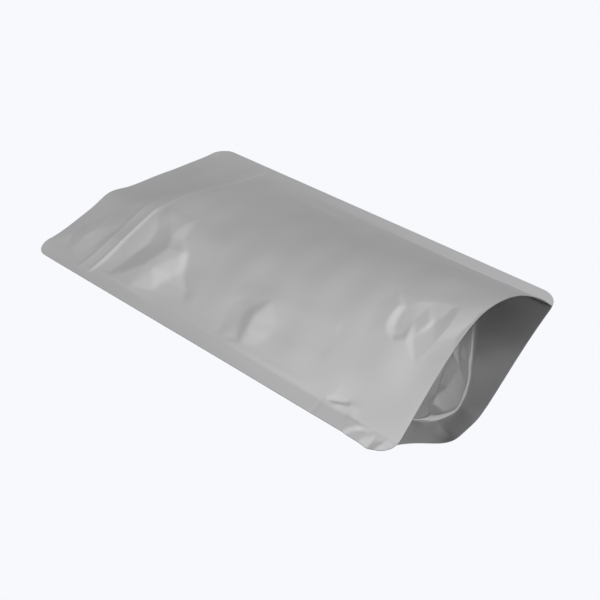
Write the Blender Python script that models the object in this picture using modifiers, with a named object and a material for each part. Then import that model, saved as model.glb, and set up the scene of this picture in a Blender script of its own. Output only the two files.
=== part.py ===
"""Stand-up pouch of plain silver film, empty, lying on its back panel.

The zip end is shut and lies nearly flat. The folded base is popped open, so
the bottom end is a lens shape between the front and the back panel, with the
base sheet set back a little way inside it. The pouch can't be looked into, so
it is one closed solid with that shallow recess cut into its bottom end.

The film is described flat first: u runs across the pouch, v along it from the
bottom edge to the zip edge. Functions then bend each sheet into its place.
"""
from math import cos, exp, pi, sqrt

import bmesh
import bpy

# Driving dimensions of the flat pouch, in metres
WIDTH = 0.140
LENGTH = 0.240
SIDE_SEAL = 0.008
CORNER_RADIUS = 0.010
TWO_PLIES = 0.0004
BASE_DEPTH = 0.040
BASE_SEAL = 0.011
BASE_ARC_TIP = 0.08

# How far the bottom end is popped open
SEAM_HEIGHT = 0.0332
FRONT_LIFT = 0.0281
BACK_DROP = 0.0334
FRONT_SETBACK = 0.0052
BACK_OVERHANG = 0.0018
HALF_CHORD_BOTTOM = 0.0540
HALF_CHORD_TOP = 0.0610

# Outlines of the hills across the pouch: apex, hollowness to the left and right
FRONT_HILL = (0.08, 0.88, 0.0)
BACK_HILL = (-0.085, 1.0, 2.5)
TOP_HILL = (-0.28, 1.2, 0.75)
EDGE_HILL = (0.0, 0.3, 0.3)

# The low wave that runs across the shut end
TOP_WAVE = 0.0075
CREST_HEIGHT = 0.0032
CREST_PLACE = -0.28
CREST_WIDTH = 0.16
CREST_REACH = 3

# The film humps up over the zip, left of the middle: place and reach as shares of the film
ZIP_HUMP = 0.0035
HUMP_ACROSS = (-0.13, 0.52)
HUMP_ALONG = (0.83, 0.10)

# Past the base, the right flank of the front panel is slightly hollow
FLANK_HOLLOW = 0.6
FLANK_RANGE = (0.030, 0.090)

# Press-to-close zip, measured from the zip edge
ZIP_NEAR = 0.035
ZIP_WIDTH = 0.008
ZIP_RIDGE = 0.0005
ZIP_RIDGE_WIDTH = 0.0025
SHUT_FROM = 0.194
PARTING_FROM = 0.100
SITS_FLAT = 0.0009

# The base sheet keeps the line of its middle fold
FOLD_DEPTH = 0.0030

# Mesh density
INNER_COLUMNS = 32
SEAL_COLUMNS = 2
CORNER_ROWS = 5
BODY_ROWS = 26
ZIP_ROWS = 7
HEADER_ROWS = 5
RECESS_COLUMNS = 40
RECESS_ROWS = 8
MOUTH_MARGIN = 0.006
RECESS_HALF = 0.0590

HALF_WIDTH = WIDTH / 2
INNER_HALF = HALF_WIDTH - SIDE_SEAL


def smooth_step(start, end, value):
    """Goes smoothly from 0 at start to 1 at end."""
    part = min(max((value - start) / (end - start), 0.0), 1.0)
    return part * part * (3 - 2 * part)


def hill(across, shape):
    """1 at the apex and 0 at both side seals, across runs from -1 to 1."""
    apex, left, right = shape
    reach = 1 + apex if across < apex else 1 - apex
    hollow = left if across < apex else right
    share = min(abs(across - apex) / reach, 1.0)
    return (1 - share * share) / (1 + hollow * share * share)


def outline_half_width(v):
    """Half the flat width at v, with the four corners rounded."""
    from_end = min(v, LENGTH - v, CORNER_RADIUS)
    rise = CORNER_RADIUS - max(from_end, 0.0)
    return HALF_WIDTH - CORNER_RADIUS + sqrt(CORNER_RADIUS ** 2 - rise ** 2)


def wave(across, along):
    """Height of the wave: a broad one all along the pouch, with a narrow crest near its shut end."""
    along = max(along, 0.0)
    crest = CREST_HEIGHT * exp(-((across - CREST_PLACE) / CREST_WIDTH) ** 2)
    broad = TOP_WAVE * hill(across, TOP_HILL)
    return broad * along + crest * hill(across, EDGE_HILL) * along ** CREST_REACH


def zip_relief(v):
    """The two ridges that the zip's strips press into the film."""
    relief = 0.0
    for ridge in (LENGTH - ZIP_NEAR, LENGTH - ZIP_NEAR - ZIP_WIDTH):
        relief += ZIP_RIDGE * exp(-((v - ridge) / ZIP_RIDGE_WIDTH) ** 2)
    return relief


def zip_hump(across, along):
    """Height of the hump over the zip."""
    off = ((across - HUMP_ACROSS[0]) / HUMP_ACROSS[1]) ** 2
    off += ((along - HUMP_ALONG[0]) / HUMP_ALONG[1]) ** 2
    return ZIP_HUMP * exp(-off) * hill(across, EDGE_HILL)


def front_height(across, along):
    """Height of the front panel, with straight lines running from the base to the zip edge."""
    left = 1 - along
    apex, left_hollow, right_hollow = FRONT_HILL
    right_hollow += FLANK_HOLLOW * smooth_step(*FLANK_RANGE, along * LENGTH)
    lift = FRONT_LIFT * hill(across, (apex, left_hollow, right_hollow))
    return TWO_PLIES + (SEAM_HEIGHT + lift) * left + wave(across, along) + zip_hump(across, along)


def back_height(across, along):
    """Height of the back panel's underside: sagging at the base, shut at the zip."""
    shut = front_height(across, along) - TWO_PLIES
    drop = BACK_DROP * hill(across, BACK_HILL) + SITS_FLAT * hill(across, EDGE_HILL)
    sagging = (SEAM_HEIGHT - drop) * (1 - along)
    parted = 1 - smooth_step(PARTING_FROM, SHUT_FROM, along * LENGTH)
    return shut + (sagging - shut) * parted


def place(u, v, side):
    """The point of the front (side 1) or back (side -1) panel at flat u, v."""
    along = v / LENGTH
    across = min(max(u / INNER_HALF, -1.0), 1.0)
    in_seal = max(abs(u) - INNER_HALF, 0.0)
    half_chord = HALF_CHORD_BOTTOM + (HALF_CHORD_TOP - HALF_CHORD_BOTTOM) * along
    x = across * half_chord + (in_seal if u > 0 else -in_seal)
    near_mouth = hill(across, EDGE_HILL) * (1 - along) ** 2
    relief = zip_relief(v) * (1 - across ** 8)
    if side > 0:
        return x, v + FRONT_SETBACK * near_mouth, front_height(across, along) + relief
    return x, v - BACK_OVERHANG * near_mouth, max(back_height(across, along) - relief, 0.0)


def base_arc(u):
    """Distance from the bottom edge to the seal of the base sheet at u."""
    across = abs(u) / INNER_HALF
    tip = BASE_ARC_TIP
    share = (sqrt(across ** 2 + tip ** 2) - tip) / (sqrt(1 + tip ** 2) - tip)
    return BASE_SEAL + (BASE_DEPTH - BASE_SEAL) * share


def row_positions():
    """Distances from the bottom edge at which the panels have a row of points."""
    corner = [CORNER_RADIUS * (1 - cos(pi / 2 * k / CORNER_ROWS)) for k in range(CORNER_ROWS)]
    zip_end = LENGTH - ZIP_NEAR + ZIP_RIDGE_WIDTH
    zip_start = LENGTH - ZIP_NEAR - ZIP_WIDTH - ZIP_RIDGE_WIDTH
    stops = (
        (CORNER_RADIUS, zip_start, BODY_ROWS),
        (zip_start, zip_end, ZIP_ROWS),
        (zip_end, LENGTH - CORNER_RADIUS, HEADER_ROWS),
    )
    rows = list(corner)
    for start, end, count in stops:
        rows += [start + (end - start) * k / count for k in range(count)]
    rows.append(LENGTH - CORNER_RADIUS)
    rows += [LENGTH - distance for distance in reversed(corner)]
    return rows


def column_share(column, columns):
    """Where a column stands, from -1 to 1: few columns in the seals."""
    from_side = min(column, columns - column)
    seal_share = SIDE_SEAL / HALF_WIDTH
    if from_side < SEAL_COLUMNS:
        share = 1 - seal_share * from_side / SEAL_COLUMNS
    else:
        share = (1 - seal_share) * (1 - 2 * (from_side - SEAL_COLUMNS) / INNER_COLUMNS)
    return share if column > columns / 2 else -share


def slab(name, columns, rows, collection):
    """A flat two-sided slab of the given number of cells, to be bent into shape."""
    mesh = bpy.data.meshes.new(name)
    grid = bmesh.new()
    bmesh.ops.create_grid(grid, x_segments=columns, y_segments=rows, size=0.5)
    grid.to_mesh(mesh)
    grid.free()
    flat = bpy.data.objects.new(name + "_flat", mesh)
    collection.objects.link(flat)
    thick = flat.modifiers.new("Thickness", "SOLIDIFY")
    thick.thickness = 0.1
    thick.offset = 0.0
    solid = bpy.data.meshes.new_from_object(flat.evaluated_get(bpy.context.evaluated_depsgraph_get()))
    bpy.data.objects.remove(flat)
    result = bpy.data.objects.new(name, solid)
    collection.objects.link(result)
    return result


def bend(slab_object, columns, rows, target):
    """Moves each point of a slab to target(column, row, side)."""
    for vertex in slab_object.data.vertices:
        column = round((vertex.co.x + 0.5) * columns)
        row = round((vertex.co.y + 0.5) * rows)
        vertex.co = target(column, row, 1 if vertex.co.z > 0 else -1)


def point_outwards(mesh):
    """Turns all faces of a closed mesh to point out."""
    shell = bmesh.new()
    shell.from_mesh(mesh)
    bmesh.ops.recalc_face_normals(shell, faces=shell.faces)
    shell.to_mesh(mesh)
    shell.free()


def make_body(collection):
    """The two panels and all that is shut in between them."""
    rows = row_positions()
    columns = INNER_COLUMNS + 2 * SEAL_COLUMNS
    body = slab("pouch", columns, len(rows) - 1, collection)

    def target(column, row, side):
        v = rows[row]
        return place(column_share(column, columns) * outline_half_width(v), v, side)

    bend(body, columns, len(rows) - 1, target)
    point_outwards(body.data)
    return body


def make_recess(collection):
    """The room in front of the base sheet, between the two skirts."""
    recess = slab("recess", RECESS_COLUMNS, RECESS_ROWS, collection)

    def target(column, row, side):
        u = RECESS_HALF * (2 * column / RECESS_COLUMNS - 1)
        share = row / RECESS_ROWS
        v = base_arc(u) if side < 0 else -MOUTH_MARGIN
        low = place(u, v, -1)
        high = place(u, v, 1)
        floor = low[2] + TWO_PLIES
        roof = high[2] - TWO_PLIES
        fold = FOLD_DEPTH * (1 - abs(2 * share - 1)) if side < 0 else 0.0
        y = low[1] + (high[1] - low[1]) * share + fold
        return low[0], y, floor + (roof - floor) * share

    bend(recess, RECESS_COLUMNS, RECESS_ROWS, target)
    point_outwards(recess.data)
    recess.hide_render = True
    recess.display_type = "WIRE"
    return recess


def silver_film():
    """Matte metallised film."""
    material = bpy.data.materials.new("silver_film")
    material.use_nodes = True
    shader = material.node_tree.nodes["Principled BSDF"]
    shader.inputs["Base Color"].default_value = (0.42, 0.42, 0.42, 1)
    shader.inputs["Metallic"].default_value = 0.9
    shader.inputs["Roughness"].default_value = 0.4
    return material


def stand_at_origin(*objects):
    """Puts the middle of the first object's underside at the origin."""
    points = [vertex.co for vertex in objects[0].data.vertices]
    middle = [(min(p[axis] for p in points) + max(p[axis] for p in points)) / 2 for axis in (0, 1)]
    lowest = min(p.z for p in points)
    for item in objects:
        item.location = (-middle[0], -middle[1], -lowest)


def new_collection(name):
    collection = bpy.data.collections.new(name)
    bpy.context.scene.collection.children.link(collection)
    return collection


def main():
    for item in list(bpy.data.objects):
        bpy.data.objects.remove(item)
    parts = new_collection("stand_up_pouch")
    cutters = new_collection("cutters")
    body = make_body(parts)
    recess = make_recess(cutters)
    stand_at_origin(body, recess)
    cut = body.modifiers.new("Base recess", "BOOLEAN")
    cut.operation = "DIFFERENCE"
    cut.object = recess
    body.data.materials.append(silver_film())
    body.data.shade_smooth()


main()
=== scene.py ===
# %% [markdown]
# # A silver stand-up pouch, popped open at its base
#
# The object is an empty pouch of matte silver film, lying on its back. Three
# sheets of film make it: a front panel, a back panel, and a base sheet that is
# folded in between them at one end. At the other end a press-to-close zip
# holds the two panels together. The base is popped open, so that end stands up
# as a lens shape, and the panels fall in straight lines to the zip.
#
# The frame that is loaded here holds the pouch as one plain solid. This lesson
# makes the real, thin sheets round that solid, one cell at a time.

# %% Load the frame
from math import cos, pi, radians, sin

import bpy
import numpy as np
from mathutils import Euler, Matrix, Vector
from mathutils.geometry import delaunay_2d_cdt


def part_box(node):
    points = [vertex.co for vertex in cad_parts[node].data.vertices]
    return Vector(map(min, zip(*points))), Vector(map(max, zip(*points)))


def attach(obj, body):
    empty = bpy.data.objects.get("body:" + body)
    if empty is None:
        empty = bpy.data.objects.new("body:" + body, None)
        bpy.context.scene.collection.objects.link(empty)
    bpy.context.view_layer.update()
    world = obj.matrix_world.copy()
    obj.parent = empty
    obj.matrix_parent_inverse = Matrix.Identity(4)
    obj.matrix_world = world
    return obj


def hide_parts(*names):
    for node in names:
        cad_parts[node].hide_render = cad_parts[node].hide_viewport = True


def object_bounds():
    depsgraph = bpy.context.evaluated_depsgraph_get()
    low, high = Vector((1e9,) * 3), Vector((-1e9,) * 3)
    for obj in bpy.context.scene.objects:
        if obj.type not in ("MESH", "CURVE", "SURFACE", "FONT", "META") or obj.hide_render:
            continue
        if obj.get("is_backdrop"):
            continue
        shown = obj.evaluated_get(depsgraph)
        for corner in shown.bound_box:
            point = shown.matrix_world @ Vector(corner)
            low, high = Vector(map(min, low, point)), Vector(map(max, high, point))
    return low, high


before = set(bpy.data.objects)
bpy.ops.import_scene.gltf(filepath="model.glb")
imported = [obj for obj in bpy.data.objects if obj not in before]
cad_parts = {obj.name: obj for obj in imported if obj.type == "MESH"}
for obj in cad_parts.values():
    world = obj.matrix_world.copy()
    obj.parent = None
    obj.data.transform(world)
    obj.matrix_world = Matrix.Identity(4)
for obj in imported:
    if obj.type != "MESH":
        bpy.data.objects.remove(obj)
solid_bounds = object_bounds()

solid_low, solid_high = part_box("pouch")
print("solid", [round(1000 * (high - low), 1) for low, high in zip(solid_low, solid_high)], "mm")

# %% [markdown]
# ## The flat pouch
#
# A pouch is cut and sealed flat, and only then bent. So every place on it is
# named flat first: u runs across it, from seal to seal, and v runs along it,
# from the bottom edge to the zip edge. These are the sizes of the flat film,
# and then the heights that say how it is bent. The solid's own far edge shows
# where v ends in the frame, so the sheets fall into place by themselves.

# %% Sizes of the film, in metres
WIDTH = 0.140
LENGTH = 0.240
SIDE_SEAL = 0.008
CORNER_RADIUS = 0.010
FILM = 0.00019
TWO_PLIES = 0.0004
BASE_DEPTH = 0.040
BASE_SEAL = 0.011
BASE_ARC_TIPS = (0.3, 0.08)
ZIP_NEAR = 0.035
ZIP_WIDTH = 0.008

HALF_WIDTH = WIDTH / 2
INNER_HALF = HALF_WIDTH - SIDE_SEAL
V_START = solid_high[1] - LENGTH
print("the bottom edge is at y =", round(1000 * V_START, 1), "mm")

# %% How the film is bent
# The keel of the back panel would dip a little below the table, so it is pressed flat
# there. The real film rounds off over the edges of that flat spot.
SEAM_HEIGHT = 0.0332
FRONT_LIFT = 0.0281
BACK_DROP = 0.0334
FRONT_SETBACK = 0.0052
BACK_OVERHANG = 0.0018
HALF_CHORD_BOTTOM = 0.0540
HALF_CHORD_TOP = 0.0610
TOP_WAVE = 0.0075
CREST_HEIGHT = 0.0032
CREST_PLACE = -0.28
CREST_WIDTH = 0.16
CREST_REACH = 3
SHUT_FROM = 0.194
PARTING_FROM = 0.100
SITS_FLAT = 0.0014
KEEL_ROUNDING = 0.0012
FOLD_DEPTH = 0.0030
ZIP_HUMP = 0.0035
HUMP_ACROSS = (-0.13, 0.52)
HUMP_ALONG = (0.83, 0.10)
FLANK_HOLLOW = 0.6
FLANK_RANGE = (0.030, 0.090)

# Outlines of the hills across the pouch: apex, hollowness to the left and right
FRONT_HILL = (0.08, 0.88, 0.0)
BACK_HILL = (-0.085, 1.0, 2.5)
TOP_HILL = (-0.28, 1.2, 0.75)
EDGE_HILL = (0.0, 0.3, 0.3)

crest_height = SEAM_HEIGHT + FRONT_LIFT + TWO_PLIES
print("the front panel stands", round(1000 * crest_height, 1), "mm high at the open base")

# %% [markdown]
# ## Sums that build nodes
#
# Both the shapes and the finishes below are sums over many places at once.
# Blender works such sums out in nodes. Wiring them by hand is slow to read, so
# a small class stands for one output socket, and adding or multiplying two of
# them adds the Math node that does it. A formula then reads as it would on
# paper, in the shape trees and in the materials alike.

# %% A socket that can be added and multiplied
class Wire:
    """One output socket, on which plain arithmetic adds Math nodes."""

    def __init__(self, socket):
        self.socket = socket

    def math(self, operation, *others):
        node = self.socket.id_data.nodes.new("ShaderNodeMath")
        node.operation = operation
        for place, value in zip(node.inputs, (self, *others)):
            plug(place, value)
        return Wire(node.outputs[0])

    def __add__(self, other):
        return self.math("ADD", other)

    def __sub__(self, other):
        return self.math("SUBTRACT", other)

    def __rsub__(self, other):
        return self.math("MULTIPLY", -1.0) + other

    def __mul__(self, other):
        return self.math("MULTIPLY", other)

    def __truediv__(self, other):
        return self.math("DIVIDE", other)

    def __pow__(self, other):
        return self.math("POWER", other)

    def __abs__(self):
        return self.math("ABSOLUTE")

    __radd__ = __add__
    __rmul__ = __mul__

    def at_least(self, other):
        return self.math("MAXIMUM", other)

    def at_most(self, other):
        return self.math("MINIMUM", other)

    def below(self, other):
        return self.math("LESS_THAN", other)

    def root(self):
        return self.math("SQRT")

    def exp(self):
        return self.math("EXPONENT")

    def smooth(self, start, end):
        """0 at start and 1 at end, with a soft turn at both."""
        share = ((self - start) / (end - start)).at_least(0.0).at_most(1.0)
        return share * share * (3.0 - 2.0 * share)


def plug(socket, value):
    """Links a wire to a socket, or sets the socket to a plain value."""
    if isinstance(value, Wire):
        socket.id_data.links.new(value.socket, socket)
    else:
        socket.default_value = value


def add_node(tree, kind, settings=None, inputs=None, output=0):
    """Adds a node, with its settings made first, and gives one of its outputs."""
    node = tree.nodes.new(kind)
    for name, value in (settings or {}).items():
        setattr(node, name, value)
    for name, value in (inputs or {}).items():
        plug(node.inputs[name], value)
    return Wire(node.outputs[output]) if len(node.outputs) else node


# %% [markdown]
# ## Bending the panels
#
# Film bends but hardly stretches, so a popped-open pouch is ruled by straight
# lines: each runs from the base to the zip edge. The height across the base is
# a hill, and the height across the zip end is a low wave. Everything between
# is a straight mix of the two. That rule is short, so Geometry Nodes can make
# the panels from a flat grid, with the sizes as named inputs.

# %% A tree with named inputs for its sizes
FORM_SIZES = {
    "Width": WIDTH,
    "Length": LENGTH,
    "Side seal": SIDE_SEAL,
    "Corner radius": CORNER_RADIUS,
    "Seam height": SEAM_HEIGHT,
    "Front lift": FRONT_LIFT,
    "Back drop": BACK_DROP,
    "Top wave": TOP_WAVE,
    "Crest height": CREST_HEIGHT,
    "Zip hump": ZIP_HUMP,
}


def new_form(name, sizes, cells):
    """An empty geometry tree, with its inputs as wires by name."""
    tree = bpy.data.node_groups.new(name, "GeometryNodeTree")
    tree.is_modifier = True
    counts = dict(zip(("Columns", "Rows"), cells))
    for title, value in (sizes | counts).items():
        kind = "NodeSocketInt" if title in counts else "NodeSocketFloat"
        tree.interface.new_socket(name=title, in_out="INPUT", socket_type=kind).default_value = value
    tree.interface.new_socket(name="Film", in_out="INPUT", socket_type="NodeSocketMaterial")
    tree.interface.new_socket(name="Mesh", in_out="OUTPUT", socket_type="NodeSocketGeometry")
    start = tree.nodes.new("NodeGroupInput")
    return tree, {socket.name: Wire(socket) for socket in start.outputs if socket.name}


# %% The hill across the pouch, and its outline
def hill(across, shape):
    """1 at the apex and 0 at both side seals, across runs from -1 to 1."""
    apex, left, right = shape
    on_left = across.below(apex)
    reach = 1.0 - apex + 2.0 * apex * on_left
    hollow = right * (1.0 - on_left) + left * on_left
    share = (abs(across - apex) / reach).at_most(1.0)
    return (1.0 - share * share) / (1.0 + hollow * share * share)


def outline_half_width(v, size):
    """Half the flat width at v, with the corners rounded."""
    from_end = v.at_most(size["Length"] - v).at_most(size["Corner radius"]).at_least(0.0)
    rise = size["Corner radius"] - from_end
    reach = (size["Corner radius"] ** 2 - rise ** 2).at_least(0.0).root()
    return size["Width"] * 0.5 - size["Corner radius"] + reach


# %% Where a flat place lies on the bent pouch
def bent_place(u, v, size):
    """The front point and the back point over the flat place u, v."""
    inner_half = size["Width"] * 0.5 - size["Side seal"]
    along = v / size["Length"]
    left = 1.0 - along
    across = (u / inner_half).at_least(-1.0).at_most(1.0)
    in_seal = u - across * inner_half
    x = across * (HALF_CHORD_BOTTOM + (HALF_CHORD_TOP - HALF_CHORD_BOTTOM) * along) + in_seal

    edge = hill(across, EDGE_HILL)
    crest = (((across - CREST_PLACE) / CREST_WIDTH) ** 2 * -1.0).exp() * size["Crest height"]
    up = along.at_least(0.0)
    wave = size["Top wave"] * hill(across, TOP_HILL) * up + crest * edge * up ** CREST_REACH
    right_hollow = v.smooth(*FLANK_RANGE) * FLANK_HOLLOW
    lift = size["Front lift"] * hill(across, (*FRONT_HILL[:2], right_hollow))
    off_across = (across - HUMP_ACROSS[0]) / HUMP_ACROSS[1]
    off_along = (along - HUMP_ALONG[0]) / HUMP_ALONG[1]
    hump = ((off_across ** 2 + off_along ** 2) * -1.0).exp() * size["Zip hump"] * edge
    front = TWO_PLIES + (size["Seam height"] + lift) * left + wave + hump

    shut = front - TWO_PLIES
    drop = size["Back drop"] * hill(across, BACK_HILL) + SITS_FLAT * edge
    sagging = (size["Seam height"] - drop) * left
    parted = 1.0 - v.smooth(PARTING_FROM, SHUT_FROM)
    back = shut + (sagging - shut) * parted
    back = (back + (back ** 2 + KEEL_ROUNDING ** 2).root()) / 2

    near_mouth = edge * left * left
    front_y = v + V_START + FRONT_SETBACK * near_mouth
    back_y = v + V_START - BACK_OVERHANG * near_mouth
    return (x, front_y, front), (x, back_y, back)


# %% Shared ends of the trees
def joined(tree, parts):
    """Three wires as one vector."""
    return add_node(tree, "ShaderNodeCombineXYZ", {}, dict(zip("XYZ", parts)))


def finish_form(tree, mesh, flat, place, size):
    """Stores the flat place, bends the mesh, and ends in real faces with a material."""
    for name, domain, kind in (("Flat", "POINT", "FLOAT_VECTOR"), ("UVMap", "CORNER", "FLOAT2")):
        value = flat if name == "Flat" else add_node(
            tree, "ShaderNodeVectorMath", {"operation": "MULTIPLY_ADD"},
            {0: flat, 1: (1 / LENGTH, 1 / LENGTH, 0.0), 2: (0.5, 0.0, 0.0)})
        mesh = add_node(tree, "GeometryNodeStoreNamedAttribute", {"data_type": kind, "domain": domain},
                        {"Geometry": mesh, "Name": name, "Value": value})
    mesh = add_node(tree, "GeometryNodeSetPosition", {}, {"Geometry": mesh, "Position": place})
    mesh = add_node(tree, "GeometryNodeRealizeInstances", {}, {"Geometry": mesh})
    mesh = add_node(tree, "GeometryNodeSetMaterial", {}, {"Geometry": mesh, "Material": size["Film"]})
    add_node(tree, "NodeGroupOutput", {}, {"Mesh": mesh})
    return tree


def unit_grid(tree, size):
    """A grid of the asked number of cells, with its two shares: -1 to 1 across, 0 to 1 along."""
    columns, rows = size["Columns"] + 1, size["Rows"] + 1
    grid = add_node(tree, "GeometryNodeMeshGrid", {},
                    {"Size X": 1.0, "Size Y": 1.0, "Vertices X": columns, "Vertices Y": rows})
    split = tree.nodes.new("ShaderNodeSeparateXYZ")
    plug(split.inputs[0], add_node(tree, "GeometryNodeInputPosition"))
    return grid, Wire(split.outputs["X"]) * 2.0, Wire(split.outputs["Y"]) + 0.5


# %% The tree of a panel
PANEL_CELLS = (172, 282)
ROW_PACKING = 0.7


def panel_form(name, side):
    """The tree that makes the front (side 1) or the back (side -1) panel."""
    tree, size = new_form(name, FORM_SIZES, PANEL_CELLS)
    grid, a, t = unit_grid(tree, size)
    # Rows stand closer together at both ends, where the corners are round
    swing = (t * (2 * pi)).math("SINE") * (ROW_PACKING / (2 * pi))
    v = size["Length"] * (t - swing)
    u = a * outline_half_width(v, size)
    front, back = bent_place(u, v, size)
    place = joined(tree, front if side > 0 else back)
    flat = joined(tree, (u, v, float(side)))
    if side < 0:
        grid = add_node(tree, "GeometryNodeFlipFaces", {}, {"Mesh": grid})
    return finish_form(tree, grid, flat, place, size)


# %% [markdown]
# ## The base sheet
#
# The base is one more piece of film, folded along its middle and laid between
# the panels with the fold inwards. It is sealed to each panel below an arc:
# the double film below the arc is the skirt that the pouch would stand on.
# Popped open, the sheet runs down the front skirt, across to the back panel
# and out along the back skirt. So it is a grid too, whose rows follow that way.

# %% The tree of the base sheet
# Of its rows, a share lies flat on each skirt, a hair inside the panel's own edge
BASE_CELLS = (220, 150)
BASE_HALF = 0.0612
EDGE_MARGIN = 0.00004
PLY_GAP = 0.00002
SKIRT_SHARE = 0.12


def base_arc(u, tip):
    """Distance from the bottom edge to the seal of the base sheet at u."""
    across = abs(u) / INNER_HALF
    whole = (1 + tip ** 2) ** 0.5 - tip
    share = ((across ** 2 + tip ** 2).root() - tip) / whole
    return BASE_SEAL + (BASE_DEPTH - BASE_SEAL) * share


def base_form(name):
    """The tree that makes the base sheet, from the back skirt's edge to the front skirt's."""
    tree, size = new_form(name, FORM_SIZES | {"Fold depth": FOLD_DEPTH}, BASE_CELLS)
    grid, a, t = unit_grid(tree, size)
    from_edge = t.at_most(1.0 - t)
    on_skirt = (from_edge / SKIRT_SHARE).at_most(1.0)
    towards_front = ((t - SKIRT_SHARE) / (1.0 - 2.0 * SKIRT_SHARE)).at_least(0.0).at_most(1.0)
    # The arc on the back panel is the rounder one
    back_arc, front_arc = (base_arc(a * BASE_HALF, tip) for tip in BASE_ARC_TIPS)
    arc = back_arc + (front_arc - back_arc) * towards_front
    v = arc * on_skirt + EDGE_MARGIN
    half = (outline_half_width(v, size) - EDGE_MARGIN).at_most(BASE_HALF)
    u = a * half
    front, back = bent_place(u, v, size)
    depth = 1.5 * FILM + PLY_GAP
    fold = size["Fold depth"] * (1.0 - abs(2.0 * towards_front - 1.0))
    x = front[0]
    y = back[1] + (front[1] - back[1]) * towards_front + fold
    z = back[2] + depth + (front[2] - back[2] - 2.0 * depth) * towards_front
    place = joined(tree, (x, y, z))
    flat = joined(tree, (u, v, towards_front * 2.0 - 1.0))
    return finish_form(tree, grid, flat, place, size)


# %% [markdown]
# ## Dents and creases
#
# A pouch that has been handled is never quite smooth: the film buckles into
# flat facets that meet in sharp, short creases, and those carry the light.
# They are small and each is its own, so they are placed one by one, in flat
# millimetres, and added as height. Three marks do it all: a soft oval dent, a
# crease that follows a few points, and a patch of flat facets between corners
# whose heights are given. In this light a facet that rises away from the open
# base shines, and one that falls is dark, so the heights were read from the
# tones of the photo, one facet at a time.

# %% The three kinds of mark, in flat millimetres
def dent(u, v, middle, size, turn, depth):
    """A soft oval hollow, or a rise where the depth is below zero."""
    du, dv = u - middle[0], v - middle[1]
    a = (du * cos(radians(turn)) + dv * sin(radians(turn))) / size[0]
    b = (dv * cos(radians(turn)) - du * sin(radians(turn))) / size[1]
    return -depth * np.exp(-(a * a + b * b))


def crease(u, v, points, width, height, sharp=1.0):
    """A ridge through the points that fades towards its two ends."""
    nearest = np.full(u.shape, 1e9)
    share = np.zeros(u.shape)
    steps = [np.hypot(q[0] - p[0], q[1] - p[1]) for p, q in zip(points, points[1:])]
    done = 0.0
    for (p, q), step in zip(zip(points, points[1:]), steps):
        along = ((u - p[0]) * (q[0] - p[0]) + (v - p[1]) * (q[1] - p[1])) / step ** 2
        along = np.clip(along, 0.0, 1.0)
        away = np.hypot(u - p[0] - along * (q[0] - p[0]), v - p[1] - along * (q[1] - p[1]))
        share = np.where(away < nearest, (done + along * step) / sum(steps), share)
        nearest = np.minimum(nearest, away)
        done += step
    fade = np.sqrt(np.clip(4.0 * share * (1.0 - share), 0.0, 1.0))
    return height * fade * np.exp(-(nearest / width) ** (1.0 + sharp))


def facets(u, v, corners):
    """Flat facets between corners of given height: the corners are (u, v, height)."""
    flat = [Vector(corner[:2]) for corner in corners]
    heights = np.array([corner[2] for corner in corners])
    triangles = delaunay_2d_cdt(flat, [], [], 0, 0.001)[2]
    result = np.zeros(u.shape)
    for i, j, k in triangles:
        p, q, r = corners[i], corners[j], corners[k]
        whole = (q[0] - p[0]) * (r[1] - p[1]) - (r[0] - p[0]) * (q[1] - p[1])
        s = ((u - p[0]) * (r[1] - p[1]) - (r[0] - p[0]) * (v - p[1])) / whole
        t = ((q[0] - p[0]) * (v - p[1]) - (u - p[0]) * (q[1] - p[1])) / whole
        inside = (s >= 0) & (t >= 0) & (s + t <= 1)
        height = heights[i] * (1 - s - t) + heights[j] * s + heights[k] * t
        result = np.where(inside, height, result)
    return result


# %% The patches of facets on the front panel: u, v and height in millimetres
# The largest patch: the panel buckles where the stiff zip meets the slack film
ZIP_BUCKLE = [
    # The ring where the buckle dies out
    (-63, 135, 0), (-57, 132, 0), (-45, 133, 0), (-30, 140, 0), (-17, 145, 0), (-9, 156, 0),
    (-8, 172, 0), (-10, 192, 0), (-10, 206, 0), (-14, 240, 0), (-32, 241, 0), (-48, 241, 0),
    (-63, 241, 0), (-63, 150, 0),
    # The bright three-cornered facet and the thin dark strip beside it
    (-61.2, 167.3, 0.8), (-57, 155, 0.3), (-53, 138, 0), (-49, 153, 1.0), (-48, 163.2, 3.5),
    (-33.4, 157.0, 2.1), (-44.2, 150.8, 1.2), (-49, 138, -0.4), (-40.5, 148.2, 0.1),
    (-29.8, 155.6, 0.5), (-26, 163, 0.8),
    # The dark fall below the zip, which bends up towards it on the right
    (-47.5, 169.5, 3.9), (-34, 167, 3.1), (-27, 172, 2.1), (-20, 180, 1.1), (-16, 188, 0.6),
    (-56.5, 178, 1.7), (-60.5, 186, 0.1), (-46, 183, 0.9), (-36, 181, 0.8), (-27, 184, 0.4),
    (-20, 191, 0.2),
    # Along the zip and beyond it
    (-60.5, 197.3, 0.2), (-41.5, 198, 1.8), (-31, 197.5, 1.4), (-20, 197, 0.3), (-60.5, 206, 0.2),
    (-42.5, 206, 1.5), (-30, 206, 1.1), (-19, 206, 0.2), (-61.5, 210, 0.0), (-55, 210, 0.7),
    (-45, 210, 1.1), (-37, 209, 1.0), (-60, 218, 0.1), (-55, 221, 0.9), (-48, 222, 1.6),
    (-43, 220, 1.5), (-37, 214, 1.1), (-58, 226, 0.0), (-50, 231, 0.4), (-40, 230, 0.4),
    (-28, 222, 0.3),
]
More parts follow.
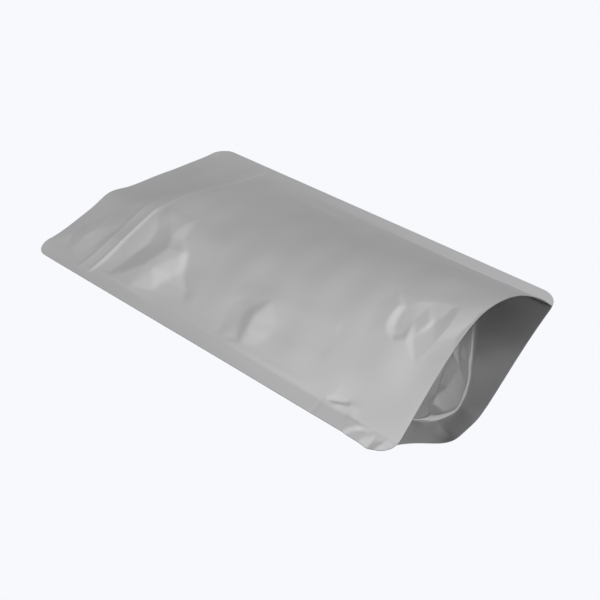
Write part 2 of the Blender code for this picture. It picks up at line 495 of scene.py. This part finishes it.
# A short sharp ridge that starts at the left seal, halfway along
SEAL_NOTCH = [
    (-62, 78, 0), (-50, 72, 0), (-38, 78, 0), (-33, 92, 0), (-36, 106, 0), (-44, 120, 0),
    (-56, 120, 0), (-62, 104, 0), (-58.5, 91.2, 0.3), (-51, 92.8, 1.3), (-44.5, 94.8, 1.5),
    (-40, 93.5, 1.0), (-57.2, 94, -0.1), (-51, 98, 0.1), (-45, 100.5, 0.2), (-40, 99.5, 0.2),
    (-53, 107, -0.4), (-46, 110, -0.35), (-40, 108, -0.2), (-55, 83, 0.1), (-46, 80, 0.1),
    (-41, 84, 0.2),
]
# A thumb has pushed this one in, above the open base
BASE_CRUMPLE = [
    (-32, 26, 0), (-31, 38, 0), (-16, 44, 0), (-3, 40, 0), (5, 28, 0), (8, 12, 0), (6, 1, 0),
    (-6, -1, 0), (-24, -1, 0), (-31, 12, 0),
    # The bright arc: a high outer rim over a low inner one
    (-26.5, 26.5, 0), (-24.8, 30.8, 0.1), (-20.8, 34.0, 0.25), (-16.4, 34.6, 0.3),
    (-10.9, 34.3, 0.3), (-4.8, 26.8, 0.3), (-1.2, 19.8, 0.25), (1, 11, 0.1), (-23.4, 27.8, -0.75),
    (-19.2, 30.4, -0.9), (-13.5, 31.8, -0.75), (-9.6, 31, -0.3), (-6, 27, 0.0), (-22, 24.8, -0.8),
    (-14, 24, -0.7), (-6, 22, -0.2),
    # Two bright spots
    (-21.3, 22.2, -0.35), (-24, 21.5, -0.1), (-22.6, 18.8, -0.8), (-20.2, 19.0, -0.75),
    (-14.2, 17.2, -0.15), (-11.4, 17.4, -0.15), (-14.4, 15.3, -0.6), (-10.6, 15.1, -0.6),
    # The dark trough and the bright face below it
    (-19.2, 9.3, -0.2), (-12.3, 8.3, 0.1), (-4.3, 8.9, 0.1), (1, 8.3, 0.0), (-16, 12.4, -0.5),
    (-7.4, 13.2, -0.4), (-2, 13, -0.2), (-21, 5, -0.2), (-13, 2.5, -0.4), (-5, 1, -0.3),
]
# Where the folded base sheet ends at the left seal, the front panel gives way
FOLD_END = [
    (-62.5, 41, 0), (-57, 42, 0), (-51, 35, 0), (-51, 26, 0), (-56, 21, 0), (-62.5, 22, 0),
    (-62.5, 32, 0), (-61.2, 37.6, 0.3), (-59.9, 32.3, 0.6), (-58.0, 27.2, 0.3), (-59.7, 37.2, 0.0),
    (-57.6, 32.9, -0.3), (-55.9, 28.0, -0.3),
]
# The near corner is bent down along a crease beside the seal
CORNER_CRUMPLE = [
    (-61, 26, 0), (-61.5, 12, 0), (-62.5, 4, 0), (-62.5, -1, 0), (-72, 24, 0), (-66, 24, 0),
    # A bright thin edge, a grey step, a bright face, and a dark one at the very corner
    (-71, 21.2, 0), (-67.3, 20.8, 0.05), (-64.4, 18.4, 0.1), (-71, 19.2, -0.5), (-67.6, 18.8, -0.5),
    (-65.2, 17.0, -0.35), (-71, 13.5, -0.6), (-67.5, 13, -0.5), (-64.9, 12.5, -0.5),
    (-71, 8.6, -1.5), (-67.5, 8.8, -1.3), (-65, 9.4, -1.0), (-71, 5.5, -1.1), (-68.5, 6, -0.9),
    (-64.3, 5, -0.4), (-64, 9, -0.5), (-71, -1, -1.6), (-66.5, 1.5, -1.3), (-64.6, -1, -1.0),
]

FRONT_PATCHES = (ZIP_BUCKLE, SEAL_NOTCH, BASE_CRUMPLE, FOLD_END, CORNER_CRUMPLE)
print(sum(len(patch) for patch in FRONT_PATCHES), "corners of facets on the front panel")


# %% All the marks of the two panels
# Three faint waves, each by its turn for every millimetre across and along, and its start
SLACK_WAVES = ((0.10, 0.19, 0.4), (-0.23, 0.12, 1.9), (0.05, -0.27, 3.1))
SLACK_HEIGHT = 0.07
# How the flanks leave the two seals: steepness, the width of the bend, and where along it begins
BEND_STEEPNESS = 0.17
LEFT_BEND, RIGHT_BEND = 6.0, 3.0
BEND_FROM, BEND_OVER = 42, 50


def front_marks(u, v):
    """Height in millimetres that the marks add to the front panel."""
    z = sum(facets(u, v, patch) for patch in FRONT_PATCHES)
    # Slack film is never quite even
    for across, along, start in SLACK_WAVES:
        z += SLACK_HEIGHT * np.sin(across * u + along * v + start) * np.clip((60 - np.abs(u)) / 12, 0, 1)
    # Soft swells and hollows of the left flank
    z += dent(u, v, (-53, 22), (8, 14), 0, 0.7)
    z += dent(u, v, (-24, 8), (13, 12), 0, 0.8)
    z += crease(u, v, [(-33, 112), (-33, 88), (-31, 52)], 4.5, 0.5)
    z += crease(u, v, [(-45, 108), (-44, 80), (-43, 50)], 3.5, -0.4)
    z += crease(u, v, [(-59.5, 90), (-60, 70), (-58.5, 47)], 1.5, 0.25)
    # The dark groove where the folded base sheet ends, and the step that it leaves in the seal
    z += crease(u, v, [(-60.2, 37.6), (-58.6, 32.6), (-56.8, 27.6)], 0.9, -0.9)
    z += crease(u, v, [(-73, 37.4), (-67, 38), (-61, 39.4)], 0.5, -0.2)
    # Fine creases round the bent corner
    z += crease(u, v, [(-65.5, 17), (-64.1, 15.5), (-64, 12.5), (-64.8, 11.5)], 0.6, -0.35)
    z += crease(u, v, [(-64.5, 17.2), (-63.4, 20), (-62, 25.5)], 0.9, 0.4)
    z += crease(u, v, [(-64.2, 8), (-64, 3), (-63.8, -2)], 0.7, -0.2)
    # The flanks leave the seals in a soft bend
    seal = 1000 * INNER_HALF
    for inwards, width in ((u + seal, LEFT_BEND), (seal - u, RIGHT_BEND)):
        bend = np.hypot(inwards, width) - np.abs(inwards)
        z += BEND_STEEPNESS * bend * np.clip((v - BEND_FROM) / BEND_OVER, 0, 1)
    # Long soft ripples of the right flank
    z += crease(u, v, [(56, 180), (51, 140), (47, 82)], 4.0, -0.7)
    z += crease(u, v, [(39, 44), (36, 30), (32, 12)], 2.4, 0.45)
    z += crease(u, v, [(55, 75), (53, 45), (49, 10)], 2.2, 0.5)
    z += crease(u, v, [(63.5, 76), (63.8, 45), (63.5, 15)], 0.8, 0.12)
    return z


def back_marks(u, v):
    """Height in millimetres that the marks add to the back panel."""
    # The photo hides this side, so it has a few quiet marks of the same kind
    z = dent(u, v, (-20, 118), (18, 32), 15, -0.9)
    z += dent(u, v, (26, 62), (12, 26), -10, -0.7)
    z += crease(u, v, [(-34, 158), (-14, 150), (10, 153)], 3.0, 0.5)
    z += crease(u, v, [(60, 96), (48, 101), (40, 112)], 1.6, 0.4)
    return z


# %% [markdown]
# ## The crumple of the base sheet
#
# The base sheet was pushed open by hand, so it is crumpled as well. A cloth
# simulation would crumple it too, but into folds of its own, so facets do it
# here again. They are placed on the sheet itself: across it by u, and up it
# from the seal on the back panel (-27) to the seal on the front panel (27). The
# third number says how far a corner bulges towards the open end. A facet that
# leans back catches the light, and one that leans forward shows the dark
# inside of the skirt.

# %% The corners of the crumple
BASE_FOLDS = [
    (-61, -27, 0), (-22, -27, 0), (0, -27, 0), (20, -27, 0), (36, -27, 0), (61, -27, 0),
    (61, 27, 0), (30, 27, 0), (0, 27, 0), (-30, 27, 0), (-61, 27, 0),
    # The left part falls to the right into a valley, and so stays dark
    (-22, -25, 0.6), (-14, -14, 1.0), (-7, -6, 0.4), (-2, 0, 0.0), (-17, -21, 1.1), (-13, -18, 0.0),
    (-10, -12, 0.8), (-7, -10, -0.5), (-13, -25, -0.9), (-8, -16, -1.4), (-3, -9, -1.7),
    (1, -4, -2.0),
    # The middle leans back and catches the light
    (-7, -25, 0.6), (2, -25, 1.3), (11, -24, 0.8), (-2, -15, -1.1), (5, -14, -1.4), (11, -15, -1.0),
    (4, -8, -2.2),
    # A soft bright roll beside the seal
    (20, -24, -0.6), (32, -24, -0.7),
    # A thin bright fold with a dark one beyond it
    (7, -8, -2.0), (14, -17, -1.2), (10, -7, -2.6), (16, -16, -2.0), (6, -2, -1.6), (13, -5, -1.0),
    (20, -14, -1.2), (29, -21, -0.8),
    # What the front skirt hides
    (-20, 6, -0.2), (-8, 9, -1.8), (2, 6, -1.0), (12, 8, -1.7), (24, 4, -0.2), (-12, 18, -0.4),
    (6, 18, -1.6), (22, 16, -0.5),
]


# %% [markdown]
# ## The lines that the machine left
#
# The zip is a strip with two fine rails, welded between the panels. It shows
# through both as a low band with a ridge along each side, clear on the left
# and hardly seen on the right, where the film is pulled flat. The side seals
# leave a shallow groove along their inner edge. Strips of their own would have
# to be bent along with the panels. As a formula of u and v, these lines follow
# every bend by themselves.

# %% Zip and seals, in flat millimetres
RAIL_WIDTH = 0.9
LOW_RAIL, HIGH_RAIL = 0.3, 0.18
BAND_HEIGHT = 0.25
GROOVE_WIDTH = 0.8
GROOVE_DEPTH = 0.05
# Right of this place the rails fade to a tenth of their height
RAILS_FADE_AT, RAILS_FADE_OVER = -14, 4


def made_lines(u, v):
    """Height of the zip's rails and the edges of the seals, the same on both panels."""
    seal = 1000 * INNER_HALF
    low, high = 1000 * (LENGTH - ZIP_NEAR - ZIP_WIDTH), 1000 * (LENGTH - ZIP_NEAR)
    rails = LOW_RAIL * np.exp(-((v - low) / RAIL_WIDTH) ** 2)
    rails += HIGH_RAIL * np.exp(-((v - high) / RAIL_WIDTH) ** 2)
    rails *= 0.1 + 0.9 / (1 + np.exp((u - RAILS_FADE_AT) / RAILS_FADE_OVER))
    band = 1 / (1 + np.exp(-(v - low + 1.0) / 0.5)) - 1 / (1 + np.exp(-(v - high - 1.0) / 0.7))
    height = (rails + BAND_HEIGHT * band) * np.clip((1.07 - np.abs(u) / seal) / 0.06, 0, 1)
    return height - GROOVE_DEPTH * np.exp(-((np.abs(u) - seal) / GROOVE_WIDTH) ** 2)


# %% [markdown]
# ## From tree to plain mesh
#
# A tree hangs on an empty mesh as a modifier. Its result is copied out as a
# plain mesh, and the marks are added to its heights. Facets from a sum have
# edges that are too sharp for film, so the heights are rounded off a little
# over the neighbouring points. The base sheet turns out of its seals in a soft
# roll, which gets the same care. Solidify then gives each sheet its thickness,
# inwards, so that the outer face stays where the solid has it, and the cut
# edge is marked sharp, because scissors leave no round edge.

# %% Make a sheet
def run_form(tree, name, material):
    """The mesh that a tree makes, as a new object at the origin."""
    carrier = bpy.data.objects.new(name + "_carrier", bpy.data.meshes.new(name + "_carrier"))
    bpy.context.scene.collection.objects.link(carrier)
    form = carrier.modifiers.new("Form", "NODES")
    form.node_group = tree
    for socket in tree.interface.items_tree:
        if socket.in_out == "INPUT" and socket.name == "Film":
            form[socket.identifier] = material
    mesh = bpy.data.meshes.new_from_object(carrier.evaluated_get(bpy.context.evaluated_depsgraph_get()))
    bpy.data.objects.remove(carrier)
    sheet = bpy.data.objects.new(name, mesh)
    bpy.context.scene.collection.objects.link(sheet)
    return sheet


def points_of(mesh, attribute=None):
    """The points of a mesh, or a vector stored on them, as rows."""
    data, key = (mesh.attributes[attribute].data, "vector") if attribute else (mesh.vertices, "co")
    rows = np.zeros(3 * len(data))
    data.foreach_get(key, rows)
    return rows.reshape(-1, 3)


def soften(height, shape, steps):
    """Rounds off sharp folds, over the neighbours in the grid of points."""
    grid = height.reshape(shape)
    for step in range(steps):
        padded = np.pad(grid, 1, mode="edge")
        beside = padded[:-2, 1:-1] + padded[2:, 1:-1] + padded[1:-1, :-2] + padded[1:-1, 2:]
        grid = (beside + 2 * grid) / 6
    return grid.ravel()


# How wide the roll beside a seal is, as a share of the sheet's rows
ROLL_LEFT = 0.007
ROLL_RIGHT = 0.033
ROLL_STEPS = 14
ROLL_STRENGTH = 0.6


def round_folds(points, shape):
    """Rolls the base sheet out of its seals: tight on the left, wider to the right."""
    grid = points.reshape(*shape, 3)
    row = np.arange(shape[1]) / (shape[1] - 1)
    rightwards = np.clip(1000 * grid[:, :1, 0] / 12 - 0.4, 0, 1)
    width = ROLL_LEFT + (ROLL_RIGHT - ROLL_LEFT) * rightwards
    near = np.exp(-((row - SKIRT_SHARE) / width) ** 2) + np.exp(-((row - 1 + SKIRT_SHARE) / width) ** 2)
    for step in range(ROLL_STEPS):
        middle = (grid[:, :-2] + grid[:, 2:]) / 2
        grid[:, 1:-1] += ROLL_STRENGTH * near[:, 1:-1, None] * (middle - grid[:, 1:-1])


# %% Add the marks
BASE_CRUMPLING = 1.5
FOLD_REACH = 27
PANEL_SOFTENING, BASE_SOFTENING = 1, 2
# The panels part over the last millimetres before a side seal, and again below the zip
SEAL_BLEND = 4
ZIP_BLEND_FROM, ZIP_BLEND_OVER = 185, 12


def add_marks(sheet, shape):
    """Adds the marks and the made lines to a sheet's heights, by its flat places."""
    points = points_of(sheet.data)
    flat = points_of(sheet.data, "Flat") * (1000, 1000, 1)
    u, v, side = flat.T
    towards_front = (side + 1) / 2
    # Where the two panels are sealed or zipped together, the back takes the front's marks
    sealed = np.clip((np.abs(u) - 1000 * INNER_HALF + SEAL_BLEND) / SEAL_BLEND, 0, 1)
    shut = np.maximum(sealed, np.clip((v - ZIP_BLEND_FROM) / ZIP_BLEND_OVER, 0, 1))
    front = soften(front_marks(u, v), shape, PANEL_SOFTENING)
    back = front * shut + back_marks(u, v) * (1 - shut)
    lines = made_lines(u, v)
    height = front * towards_front + back * (1 - towards_front)
    height += lines * np.where(side > 0.99, 1, np.where(side < -0.99, 2 * shut - 1, 0))
    points[:, 2] += height / 1000
    if sheet.name == "base_sheet":
        bulge = soften(facets(u, FOLD_REACH * side, BASE_FOLDS), shape, BASE_SOFTENING)
        points[:, 1] -= BASE_CRUMPLING * bulge / 1000
        round_folds(points, shape)
    sheet.data.vertices.foreach_set("co", points.ravel())
    sheet.data.update()


# %% Thickness and the cut edge
def give_thickness(sheet, offset):
    """Film that is smooth all over, with a crisp cut edge."""
    mesh = sheet.data
    mesh.shade_smooth()
    # An edge that only one face uses is a cut edge
    edge_of_corner = np.zeros(len(mesh.loops), dtype=np.int32)
    mesh.loops.foreach_get("edge_index", edge_of_corner)
    cut = np.bincount(edge_of_corner, minlength=len(mesh.edges)) == 1
    mesh.attributes.new("sharp_edge", "BOOLEAN", "EDGE").data.foreach_set("value", cut)
    wall = sheet.modifiers.new("Thickness", "SOLIDIFY")
    wall.thickness = FILM
    wall.offset = offset
    print(sheet.name, len(mesh.polygons), "faces before its thickness,", cut.sum(), "cut edges")


# %% [markdown]
# ## The finish of the film
#
# The film is a laminate with a thin layer of aluminium under matte plastic. It
# reflects like metal but softly, with a slight cloudiness and a very fine
# grain. Metallic and roughness give the soft reflection, and two sizes of
# noise keep it from looking like paint. The base sheet is the same film, a
# little smoother, and its grey is painted a little darker as shade for where
# it lies, down inside the open base.

# %% A material from a tree
# The scales count the noise's cells to a metre, and the tones are shares of the grey
CLOUD_SCALE = 24.0
CLOUD_TONES = (0.96, 1.04)
COOLNESS = 0.005
GRAIN_SCALE = 1400.0
GRAIN_STRENGTH = 0.05
GRAIN_DEPTH = 0.0002
ROUGHNESS_SWING = 0.06
METAL = 0.9


def silver_film(name, grey, roughness):
    """Matte metallised film."""
    material = bpy.data.materials.new(name)
    material.use_nodes = True
    tree = material.node_tree
    shader = tree.nodes["Principled BSDF"]
    place = add_node(tree, "ShaderNodeTexCoord", {}, {}, "Object")
    cloud = add_node(tree, "ShaderNodeTexNoise", {},
                     {"Vector": place, "Scale": CLOUD_SCALE, "Detail": 3.0}, "Fac")
    grain = add_node(tree, "ShaderNodeTexNoise", {},
                     {"Vector": place, "Scale": GRAIN_SCALE, "Detail": 2.0}, "Fac")
    dull, clear = ((share * grey, share * grey, (share + COOLNESS) * grey, 1) for share in CLOUD_TONES)
    colour = add_node(tree, "ShaderNodeMix", {"data_type": "RGBA"},
                      {"Factor": cloud, "A": dull, "B": clear}, "Result")
    bump = add_node(tree, "ShaderNodeBump", {},
                    {"Height": grain, "Strength": GRAIN_STRENGTH, "Distance": GRAIN_DEPTH})
    plug(shader.inputs["Base Color"], colour)
    plug(shader.inputs["Roughness"], cloud * ROUGHNESS_SWING + (roughness - ROUGHNESS_SWING / 2))
    plug(shader.inputs["Metallic"], METAL)
    plug(shader.inputs["Normal"], bump)
    print(name, "grey", grey, "roughness", roughness, "from", len(tree.nodes), "nodes")
    return material


film = silver_film("silver_film", 0.60, 0.40)
# The base sheet's grey is painted a little darker as shade for the open base; its lower roughness gives
# its glossier look.
base_film_with_painted_shade = silver_film("silver_film_base_painted_shade", 0.54, 0.34)

# %% The three sheets
front_panel = run_form(panel_form("front_panel_form", 1), "front_panel", film)
back_panel = run_form(panel_form("back_panel_form", -1), "back_panel", film)
base_sheet = run_form(base_form("base_sheet_form"), "base_sheet", base_film_with_painted_shade)
for sheet, offset, cells in ((front_panel, -1.0, PANEL_CELLS), (back_panel, -1.0, PANEL_CELLS),
                             (base_sheet, 0.0, BASE_CELLS)):
    add_marks(sheet, [count + 1 for count in cells])
    give_thickness(sheet, offset)
    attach(sheet, "root")
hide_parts("pouch")

# %% [markdown]
# ## Floor, light and camera
#
# The pouch lies on a plain, nearly white table in a light tent. The tent is
# brightest beyond the open base, a little way up and to the left, so what leans
# that way shines, and the right flank and the zip end stay grey. The tent has
# its opening in the middle of that bright side, so the very brightest part is
# dimmed there again, or the roll of the base sheet would glare. Lamps could
# light the pouch as well, but each would leave a hard spot on the metal. So
# the tent is the world's own light, worked out from the direction alone.

# %% The floor
FLOOR_SIZE = 6.0
FLOOR_GAP = 0.0002
FLOOR_COLOUR = (0.43, 0.432, 0.435, 1)
FLOOR_GLOW = (0.93, 0.945, 0.98, 1)
bpy.ops.mesh.primitive_plane_add(size=FLOOR_SIZE, location=(0, 0, -FLOOR_GAP))
floor = bpy.context.object
floor.name = "floor"
floor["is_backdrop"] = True


def floor_finish():
    """Pale and plain: it glows a little to the camera, as a lit table does."""
    material = bpy.data.materials.new("pale_floor")
    material.use_nodes = True
    tree = material.node_tree
    shader = tree.nodes["Principled BSDF"]
    plug(shader.inputs["Base Color"], FLOOR_COLOUR)
    plug(shader.inputs["Roughness"], 0.9)
    glow = add_node(tree, "ShaderNodeEmission", {}, {"Color": FLOOR_GLOW, "Strength": 1.0})
    seen = add_node(tree, "ShaderNodeLightPath", {}, {}, "Is Camera Ray")
    mixed = add_node(tree, "ShaderNodeMixShader", {}, {0: seen, 1: Wire(shader.outputs[0]), 2: glow})
    plug(tree.nodes["Material Output"].inputs["Surface"], mixed)
    return material


floor.data.materials.append(floor_finish())

# %% The light tent
TENT_DARK = 0.455
TENT_BRIGHT = 1.16
TENT_DIRECTION = (-0.22, -0.84, 0.50)
TENT_EDGES = (-0.74, 0.5)
TENT_OPENING = 0.45
OPENING_EDGES = (0.42, 0.8)
BACKDROP = 0.94

world = bpy.data.worlds.new("light_tent")
bpy.context.scene.world = world
world.use_nodes = True
sky = world.node_tree
towards = add_node(sky, "ShaderNodeTexCoord", {}, {}, "Generated")
facing = add_node(sky, "ShaderNodeVectorMath", {"operation": "DOT_PRODUCT"},
                  {0: towards, 1: TENT_DIRECTION}, "Value")
glow = TENT_DARK + (TENT_BRIGHT - TENT_DARK) * facing.smooth(*TENT_EDGES)
glow = glow - TENT_OPENING * facing.smooth(*OPENING_EDGES)
seen = add_node(sky, "ShaderNodeLightPath", {}, {}, "Is Camera Ray")
strength = glow + (BACKDROP - glow) * seen
plug(sky.nodes["Background"].inputs["Strength"], strength)
plug(sky.nodes["Background"].inputs["Color"], (1.0, 1.0, 1.01, 1))

# %% The camera, at the photo's viewing angle
# Worked out from the outline of the pouch in the photo and its flat sizes
CAMERA_PLACE = (-0.22759, -0.11777 + V_START, 0.30165)
CAMERA_PITCH = 42.984
CAMERA_YAW = 45.518
CAMERA_LENS = 52.2

camera_data = bpy.data.cameras.new("camera")
camera = bpy.data.objects.new("camera", camera_data)
bpy.context.scene.collection.objects.link(camera)
camera_data.sensor_width = 36
camera_data.lens = CAMERA_LENS
camera_data.clip_start = 0.01
camera.location = CAMERA_PLACE
camera.rotation_euler = Euler((radians(90 - CAMERA_PITCH), 0, radians(-CAMERA_YAW)))
bpy.context.scene.camera = camera
print("the camera stands", round(1000 * camera.location.length), "mm from the middle of the pouch")
bpy.context.scene.view_settings.view_transform = "Standard"

# %% The sizes of the solid and of the dressed part
for name, box in (("solid", solid_bounds), ("dressed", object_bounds())):
    print(name, [round(1000 * (high - low), 1) for low, high in zip(*box)], "mm")
